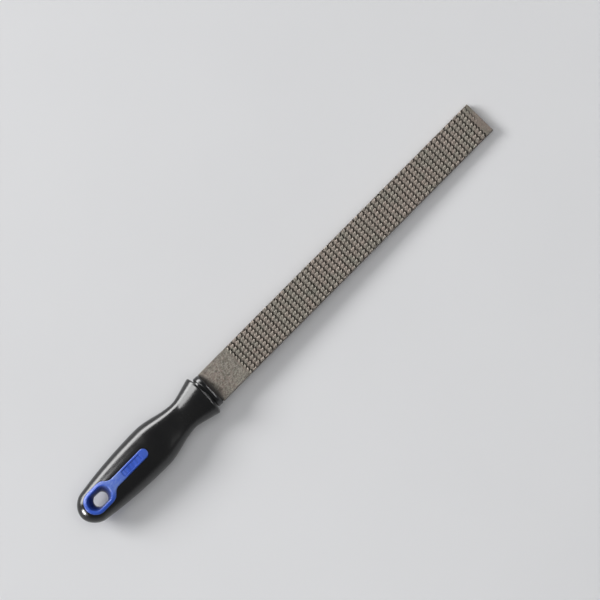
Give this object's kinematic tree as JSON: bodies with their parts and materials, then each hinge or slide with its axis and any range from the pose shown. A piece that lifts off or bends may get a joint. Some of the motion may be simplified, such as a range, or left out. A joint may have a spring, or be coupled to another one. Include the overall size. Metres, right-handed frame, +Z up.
{
  "type": "wood rasp",
  "caption": "Flat wood rasp: parallel steel blade with staggered punched teeth on both faces and a moulded black and blue handle with an oblong hanging eye.",
  "frame": {"origin": "middle of the underside of the tool's box: half way along and across it, level with the lowest point of the handle", "axes": "+X runs along the tool from the handle's butt to the blade's tip, +Z is up from one toothed face, +Y is to the left seen from above with the tip ahead"},
  "size_m": [0.37, 0.032, 0.0276],
  "materials": {
    "blade_steel": "hardened and oiled, warm grey, satin",
    "core_plastic": "royal blue moulded polypropylene, satin",
    "grip_rubber": "black thermoplastic rubber, satin to glossy"
  },
  "bodies": {
    "root": {"rasp_blade": "blade_steel", "handle_core": "core_plastic", "rubber_grip": "grip_rubber"}
  },
  "joints": []
}
